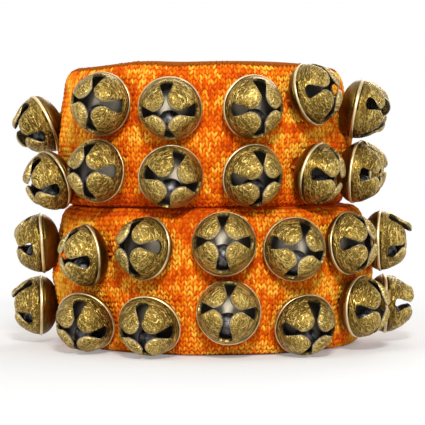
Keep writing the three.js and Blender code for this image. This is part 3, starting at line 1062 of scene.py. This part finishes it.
def growOnPoints(cloud, tree, values, body):
    grow = cloud.modifiers.new("grow", "NODES")
    grow.node_group = tree
    for item in tree.interface.items_tree:
        if item.in_out == "INPUT" and item.name in values:
            grow[item.identifier] = values[item.name]
    plainMesh(cloud)
    dress(cloud, body)


yarnLeg = strandTree("yarnLeg", 1, 0.12)
sewnDash = strandTree("sewnDash", 2, 0.06)
eyeLoops = loopTree()


# Where the closure lies on its band, which the stitches leave bare

strapShape = {
    "thickness": 1.5,
    "tipRound": 6.0,
    "columns": 44,
    "rows": 22,
    "crowding": 1.6,  # columns stand closer towards the tip
    "edgeSlope": 3.2,  # how steeply the edges thin out, along the strap and at its ends
    "endSlope": 8,
    "endShift": 0.12,
    "edgeThin": 0.45,
    "edgeInset": 1.5,
    "dashLength": 1.9,
    "dashGap": 0.9,
    "dashWidth": 0.42,
    "dashLift": 0.05,
    "tabStart": 0.6,
    "tabLength": 9.0,
    "tabLift": 0.75,
    "tabMargin": 0.6,
    "tabThickness": 0.9,
    "patchMargin": 2.4,
    "patchRound": 4.0,
    "patchThickness": 0.7,
    "patchLift": 0.5,
    "patchInset": 1.2,
    "hookThickness": 0.3,
    "hookLength": 19.0,
    "hookInset": 2,
    "hookDrop": 0.1,
    "seed": 5,
}


def strapSpan(band):  # turns of the strap's root and tip, measured on its solid
    hinge = np.array(joints[band["name"] + "_closure"]["pos_m"]) / mm
    low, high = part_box(band["name"] + "_closure_strap")
    out = hinge[:2] - band["centre"]
    radius = float(np.linalg.norm(out))
    root = math.atan2(out[0], -out[1])
    tip = math.pi - math.asin((low[0] / mm - band["centre"][0]) / radius)
    return {"radius": radius, "root": root, "tip": tip, "low": low[2] / mm, "high": high[2] / mm}


def tabSpan(band, strap):
    last = strap["root"] - strapShape["tabStart"] / strap["radius"]
    return last - strapShape["tabLength"] / band["radius"], last


def patchSpan(band, strap):
    start = math.pi + (padShape["backGap"] / 2 + strapShape["patchMargin"]) / band["radius"]
    return start, strap["tip"] - strapShape["patchMargin"] / band["radius"]


# Knit stitches, two legs of yarn to a V, and the threads that hold the bells (millimetres)

stitchShape = {
    "columnPitch": 1.85,
    "rowPitch": 1.65,
    "legLength": 2.6,
    "legWidth": 0.95,
    "legDepth": 0.8,
    "lift": 0.1,
    "lean": 0.34,
    "leanChange": 0.10,
    "spread": 0.45,
    "wander": 0.2,
    "rowWave": 0.3,
    "rowWaves": 9,
    "edgeClear": 1.0,
    "footClear": 1.7,
    "seatClear": 3.2,
    "sewnClear": (1, 0.6),  # round the closure, sideways and up
    "tone": {"lower": 0.79, "upper": 0.72},
    "toneChange": 0.19,
    "blotchTone": 0.44,  # slow change of tone, longer round the band than up it
    "blotchScale": (3.6, 0.30),
    "streakTone": 0.22,  # runs of paler or redder yarn along the columns
    "streakScale": (7.31, 0.16),
    "shadeRoundBells": 0.36,  # painted shade round the bells, most below them
    "shadeBelowBells": 0.2,
    "shadeDrop": 9,
    "shadeReach": 9.8,
    "shadeWidth": 2.0,
    "seamShadeTone": {"lower": 0.45, "upper": 0.55},  # painted shade: darker and redder where the two bands meet
    "seamShadeReach": 4.6,
    "hemRun": 1.4,
    "hemTone": -0.7,
    "seed": 11,
}


def faceSampler(grid):  # place, normal and climb on the settled cover, by turn and by distance up its outline
    face = grid["face"]
    loop = grid["loop"][:grid["faceCount"]]
    turns = grid["turn"][:, 0]
    reach = runLength(loop[:, :2])
    across = np.gradient(face, axis=1)
    normal = np.cross(np.gradient(face, axis=0), across)
    normal /= np.linalg.norm(normal, axis=-1, keepdims=True)
    climb = across / np.linalg.norm(across, axis=-1, keepdims=True)

    def sample(turn, distance):
        i = np.clip(np.interp(turn, turns, np.arange(len(turns))), 0, len(turns) - 1.001)
        j = np.clip(np.interp(distance, reach, np.arange(len(reach))), 0, len(reach) - 1.001)
        i0, j0 = i.astype(int), j.astype(int)
        fi, fj = (i - i0)[:, None], (j - j0)[:, None]

        def mixed(field):
            return ((field[i0, j0] * (1 - fi) + field[i0 + 1, j0] * fi) * (1 - fj)
                    + (field[i0, j0 + 1] * (1 - fi) + field[i0 + 1, j0 + 1] * fi) * fj)
        return mixed(face), mixed(normal), mixed(climb), np.interp(distance, reach, loop[:, 1])
    return sample, reach[-1]


def stitchPlaces(band, turns, total, random):  # of both legs: turn, distance up the outline, lean, column
    s = stitchShape
    columns = int(band["radius"] * (turns[-1] - turns[0]) / s["columnPitch"]) - 2
    rows = int((total - s["footClear"] - s["edgeClear"]) / s["rowPitch"])
    column, row = (part.ravel() for part in np.meshgrid(np.arange(columns), np.arange(rows), indexing="ij"))
    turn = (column + 1.5) * s["columnPitch"] / band["radius"] + turns[0]
    distance = s["footClear"] + (row + 0.5) * s["rowPitch"] + s["rowWave"] * np.sin(turn * s["rowWaves"])
    apart = s["spread"] / band["radius"]
    turn = np.concatenate([turn - apart, turn + apart])
    distance = np.concatenate([distance, distance])
    lean = np.repeat([-s["lean"], s["lean"]], len(turn) // 2) + random.normal(0, s["leanChange"], len(turn))
    turn += random.uniform(-1, 1, len(turn)) * s["wander"] / band["radius"]
    distance += random.uniform(-1, 1, len(turn)) * s["wander"]
    return turn, distance, lean, np.concatenate([column, column + 0.5])


def sewnOver(band, turn, up):  # true where the closure covers the band
    s = stitchShape
    strap = strapSpan(band)
    around = np.mod(turn, 2 * math.pi)
    aside = s["sewnClear"][0] / band["radius"]
    covered = np.zeros(len(turn), dtype=bool)
    for start, stop in (tabSpan(band, strap), patchSpan(band, strap)):
        covered |= (around > start - aside) & (around < stop + aside)
    low, high = strap["low"] - band["floor"], strap["high"] - band["floor"]
    return covered & (up > low - s["sewnClear"][1]) & (up < high + s["sewnClear"][1])


def patchiness(across, up, scale, seed):
    return np.array([noise.noise((a, b, seed)) for a, b in zip(across * scale[0], up * scale[1])])


def stitchTones(band, turn, up, column, random):
    s = stitchShape
    name = band["name"]
    # painted shade round each bell, deeper below it
    paintedShade = np.zeros(len(turn))
    for away, (_, seatUp) in zip(seatDistances(band, turn, up), band["seats"]):
        below = np.clip((seatUp - up) / s["shadeDrop"], 0, 1)
        ring = np.exp(-((away - s["shadeReach"]) / s["shadeWidth"]) ** 2)
        paintedShade = np.maximum(paintedShade, (s["shadeRoundBells"] + s["shadeBelowBells"] * below) * ring)
    tone = s["tone"][name] + s["blotchTone"] * patchiness(turn, up, s["blotchScale"], 3.7)
    tone = tone + s["streakTone"] * patchiness(column, up, s["streakScale"], 5.3)
    tone += random.normal(0, s["toneChange"], len(turn))
    # painted shade where the two bands meet
    seam = up if name == "upper" else band["height"] - up
    paintedShade = np.maximum(paintedShade, s["seamShadeTone"][name] * smoothStep(1.3 - seam / s["seamShadeReach"]))
    return np.clip(tone - paintedShade, 0, 1)


def knitCover(band, grid):
    s = stitchShape
    name = band["name"]
    random = np.random.default_rng(s["seed"] + bandNames.index(name))
    sample, total = faceSampler(grid)
    turn, distance, lean, column = stitchPlaces(band, grid["turn"][:, 0], total, random)
    place, normal, climb, up = sample(turn, distance)
    nearest = np.min(seatDistances(band, turn, up), axis=0)
    keep = ~sewnOver(band, turn, up) & (nearest > s["seatClear"])
    tone = stitchTones(band, turn, up, column, random)
    if name == "upper":  # the rolled top edge is toned brown as painted shade
        lip = smoothStep((distance - total + padShape["hemLength"]) / s["hemRun"])
        tone = tone * (1 - lip) + s["hemTone"] * lip
    upward = climb + np.cross(climb, normal) * np.tan(lean)[:, None]
    place = (place + normal * s["lift"]) * mm
    yarn = {"Length": s["legLength"] * mm, "Width": s["legWidth"] * mm, "Depth": s["legDepth"] * mm,
            "Seed": s["seed"], "Material": knit}
    for side, half in (("left", keep & (turn < 0)), ("right", keep & (turn >= 0))):
        parts = (field[half] for field in (place, normal, upward, tone))
        cloud = pointCloud(f"{name}_knit_stitches_{side}", *parts)
        growOnPoints(cloud, yarnLeg, yarn, name + "_band")
    return int(keep.sum()) // 2


threadShape = {"ringRadius": 1.9, "threadRadius": 0.24, "slack": 0.15, "seed": 3}


def eyeThreads(band):
    s = threadShape
    loops = []
    for name in bellNames:
        if name.startswith(band["name"]):
            eye, _, second, mouth = rolledAxes(name)
            loops.append((eye - mouth * (s["ringRadius"] - s["slack"]) * mm, second, mouth))
    cloud = pointCloud(band["name"] + "_eye_threads", *zip(*loops))
    sizes = {"Ring Radius": s["ringRadius"] * mm, "Thread Radius": s["threadRadius"] * mm,
             "Seed": s["seed"], "Material": thread}
    growOnPoints(cloud, eyeLoops, sizes, band["name"] + "_band")


bands = [bandPlace(name) for name in bandNames]
bands[0]["above"] = bands[1]["floor"] - bands[0]["floor"] - bands[0]["height"]
print("clearance between the bands", round(bands[0]["above"], 3), "mm")
for band in bands:
    count = knitCover(band, makePad(band))
    eyeThreads(band)
    print(band["name"], "pad covered with", count, "stitches")


# Closure straps: stitched tape that crosses the gap at the back, sewn down at one end

def stripHalf(length, height, along, tipRound):  # half height of a strip with round corners at its tip
    past = np.clip(along - (length - tipRound), 0, tipRound)
    return height / 2 - tipRound + np.sqrt(tipRound ** 2 - past ** 2)


def curvedStrip(name, band, radius, start, length, low, high, thickness, tipRound, material, sign=1):
    s = strapShape
    columns, rows = s["columns"], s["rows"]
    along = length * (1 - (1 - np.linspace(0, 1, columns)) ** s["crowding"])
    across = np.sin(np.linspace(-quarterTurn, quarterTurn, rows))
    place, share = np.meshgrid(along, across, indexing="ij")
    aside = stripHalf(length, high - low, along, tipRound)[:, None] * across
    ends = np.minimum(length - place, place) + s["endShift"]
    edge = np.minimum(1, s["edgeSlope"] * np.minimum(1 - np.abs(share), ends / length * s["endSlope"]))
    full = s["edgeThin"] + (1 - s["edgeThin"]) * np.sqrt(np.maximum(0, 1 - (1 - edge) ** 2))
    turn, up = start + sign * place / radius, (low + high) / 2 - band["floor"] + aside
    points, faces = [], []
    for side in (1, -1):
        skin = bandPoints(band, turn, radius + side * thickness / 2 * full, up)
        points.extend(skin.reshape(-1, 3) * mm)
    weave = np.stack([place, aside, np.zeros_like(place)], axis=-1).reshape(-1, 3)
    second = columns * rows
    for i in range(columns - 1):
        for j in range(rows - 1):
            a, b = i * rows + j, (i + 1) * rows + j
            faces.append((a, b, b + 1, a + 1))
            faces.append((second + a, second + a + 1, second + b + 1, second + b))
        for j in (0, rows - 1):
            a, b = i * rows + j, (i + 1) * rows + j
            faces.append((a, second + a, second + b, b))
    for i in (0, columns - 1):
        for j in range(rows - 1):
            a = i * rows + j
            faces.append((a, a + 1, second + a + 1, second + a))
    piece = makePiece(name, points, faces, material, {"weave": np.vstack([weave, weave])})
    mesh = bmesh.new()
    mesh.from_mesh(piece.data)
    bmesh.ops.recalc_face_normals(mesh, faces=mesh.faces)
    mesh.to_mesh(piece.data)
    mesh.free()
    return piece


def dashedLine(band, radius, route):  # a dash between each two places of a route given as turn and height
    dashes = []  # place, facing and upward way of each
    for (turn, up), (nextTurn, nextUp) in zip(route[:-1], route[1:]):
        middleTurn, middleUp = (turn + nextTurn) / 2, (up + nextUp) / 2
        out = np.array([math.sin(middleTurn), -math.cos(middleTurn), 0])
        tangent = np.array([math.cos(middleTurn), math.sin(middleTurn), 0])
        place = (np.array([*band["centre"], 0]) + out * radius + np.array([0, 0, middleUp])) * mm
        dashes.append((place, out, tangent * (nextTurn - turn) * radius + np.array([0, 0, nextUp - up])))
    return dashes


def resample(corners, pitch, radius):  # even steps along a polyline of turn and height
    turns, ups = np.array(corners).T
    reach = np.concatenate([[0], np.cumsum(np.hypot(np.diff(turns) * radius, np.diff(ups)))])
    places = np.linspace(0, reach[-1], max(2, int(reach[-1] / pitch)))
    return np.column_stack([np.interp(places, reach, turns), np.interp(places, reach, ups)])


def sewLines(name, band, body, radius, level, lines):  # dashes of thread, at a level off the band's centre
    s = strapShape
    dashes = []
    for corners in lines:
        route = resample(corners, s["dashLength"] + s["dashGap"], radius)
        dashes += dashedLine(band, level + s["dashLift"], route)
    cloud = pointCloud(name, *zip(*dashes))
    dash = {"Length": s["dashLength"] * mm, "Width": s["dashWidth"] * mm, "Depth": s["dashWidth"] * mm,
            "Seed": s["seed"], "Material": thread}
    growOnPoints(cloud, sewnDash, dash, body)


def tapeSeam(span):  # along the tape's edge, round both corners of its tip and back to its root
    s = strapShape
    radius, low, high, inset = span["radius"], span["low"], span["high"], s["edgeInset"]
    bend = s["tipRound"] - inset
    first = span["root"] + inset / radius
    seam = [(first, low + inset), (span["tip"] - s["tipRound"] / radius, low + inset)]
    corners = ((low + s["tipRound"], np.linspace(-quarterTurn, 0, 5)[1:]),
               (high - s["tipRound"], np.linspace(0, quarterTurn, 5)))
    for centre, turns in corners:
        for turn in turns:
            seam.append((span["tip"] + (-s["tipRound"] + bend * math.cos(turn)) / radius,
                         centre + bend * math.sin(turn)))
    return seam + [(first, high - inset)]


def tabSeams(span):  # a box and a cross
    s = strapShape
    first, last = (span["root"] - (s["tabStart"] + reach) / span["radius"]
                   for reach in (s["edgeInset"], s["tabLength"] - s["edgeInset"]))
    bottom = span["low"] + s["tabMargin"] + s["edgeInset"]
    top = span["high"] - s["tabMargin"] - s["edgeInset"]
    box = [(first, bottom), (last, bottom), (last, top), (first, top), (first, bottom), (last, top)]
    return box, [(first, top), (last, bottom)]


def makeStrap(band):
    s = strapShape
    name, body, home = band["name"], band["name"] + "_closure", band["name"] + "_band"
    span = strapSpan(band)
    radius, root, tip, low, high = (span[key] for key in ("radius", "root", "tip", "low", "high"))
    strap = curvedStrip(name + "_strap_tape", band, radius, root, (tip - root) * radius, low, high,
                        s["thickness"], s["tipRound"], tape)
    dress(strap, body, name + "_closure_strap")
    sewLines(name + "_strap_stitching", band, body, radius, radius + s["thickness"] / 2, [tapeSeam(span)])
    start, stop = patchSpan(band, span)
    inset = s["patchInset"]
    loops = curvedStrip(name + "_loop_patch", band, band["radius"] + s["patchLift"], start,
                        (stop - start) * band["radius"], low + inset, high - inset,
                        s["patchThickness"], s["patchRound"], pile)
    dress(loops, home)
    inset = s["hookInset"]
    hooks = curvedStrip(name + "_hook_patch", band, radius - s["thickness"] / 2 - s["hookDrop"],
                        tip - (s["hookLength"] + inset) / radius, s["hookLength"], low + inset, high - inset,
                        s["hookThickness"], s["patchRound"], pile)
    dress(hooks, body)
    inset, level = s["tabMargin"], band["radius"] + s["tabLift"]
    tab = curvedStrip(name + "_strap_tab", band, level, root - s["tabStart"] / radius, s["tabLength"],
                      low + inset, high - inset, s["tabThickness"], 0, tape, -1)
    dress(tab, home)
    sewLines(name + "_tab_stitching", band, home, radius, level + s["tabThickness"] / 2, tabSeams(span))


for band in bands:
    makeStrap(band)
print("closure straps made")


# Camera, floor and light

cameraPlace = {"height": 44.4, "distance": 650.0, "elevation": 2.0, "lens": 159.5, "sensor": 36.0}


def setDown(data, place, aim):  # a camera or lamp at its place, looking along the aim
    thing = bpy.data.objects.new(data.name, data)
    thing.location = place
    thing.rotation_euler = aim.to_track_quat("-Z", "Y").to_euler()
    scene.collection.objects.link(thing)
    return thing


def makeCamera():
    s = cameraPlace
    target = Vector((*bands[0]["centre"], s["height"])) * mm
    lean = math.radians(s["elevation"])
    away = Vector((0, -math.cos(lean), math.sin(lean)))
    data = bpy.data.cameras.new("photoView")
    data.lens = s["lens"]
    data.sensor_width = s["sensor"]
    data.clip_start = 0.01
    scene.camera = setDown(data, target + away * s["distance"] * mm, -away)


studio = {
    "floorSize": 3.0,
    "floorColour": (0.93, 0.93, 0.92, 1),
    "shadowFade": (0.06, 0.26),  # the floor's own shading gives way to white between these distances
    "shadowLeast": 0.25,
    "worldLevel": 0.45,
    "aim": (0, 0, 0.045),
    "lamps": {  # place, size, power
        "frontLamp": ((0.03, -0.60, 0.36), 0.10, 3.2),
        "keyLamp": ((-0.50, -0.60, 0.62), 0.35, 0.95),
        "topLamp": ((0.10, -0.05, 0.95), 0.5, 0.4),
        "backLamp": ((0.25, 0.90, 0.50), 0.6, 4.0),
    },
}


def seenStraight(tree):  # by the camera, in a reflection or through glass
    path = addNode(tree, "ShaderNodeLightPath").outputs
    seen = mathNode(tree, "MAXIMUM", path["Is Camera Ray"], path["Is Glossy Ray"])
    return mathNode(tree, "MAXIMUM", seen, path["Is Transmission Ray"])


def makeFloor():
    half = studio["floorSize"]
    material, tree, shader = newMaterial("paperFloor")
    setInputs(tree, shader, {"Base Color": studio["floorColour"], "Roughness": 0.95,
                             "Specular IOR Level": 0.1})
    reach = addNode(tree, "ShaderNodeVectorMath", {0: objectPlace(tree)}, operation="LENGTH").outputs["Value"]
    fade = mapNode(tree, reach, studio["shadowFade"], (studio["shadowLeast"], 1.0))
    share = mathNode(tree, "MULTIPLY", seenStraight(tree), fade)
    white = addNode(tree, "ShaderNodeEmission", {"Color": (1, 1, 1, 1), "Strength": 1.0})
    mix = addNode(tree, "ShaderNodeMixShader", {0: share, 1: shader.outputs[0], 2: white.outputs[0]})
    tree.links.new(mix.outputs[0], tree.nodes["Material Output"].inputs["Surface"])
    floor = makePiece("floor", [(-half, -half, 0), (half, -half, 0), (half, half, 0), (-half, half, 0)],
                      [(0, 1, 2, 3)], material)


def makeWorld():
    world = bpy.data.worlds.new("studio")
    scene.world = world
    world.use_nodes = True
    tree = world.node_tree
    inputs = {0: seenStraight(tree), 2: studio["worldLevel"], 3: 1.0}
    level = addNode(tree, "ShaderNodeMix", inputs).outputs[0]
    setInputs(tree, tree.nodes["Background"], {"Color": (1, 1, 1, 1), "Strength": level})


def makeLamp(name, place, size, power):
    data = bpy.data.lights.new(name, "AREA")
    data.shape = "DISK"
    data.size = size
    data.energy = power
    setDown(data, place, Vector(studio["aim"]) - Vector(place))


makeCamera()
makeFloor()
makeWorld()
for name, lamp in studio["lamps"].items():
    makeLamp(name, *lamp)
print("camera, floor and light ready")
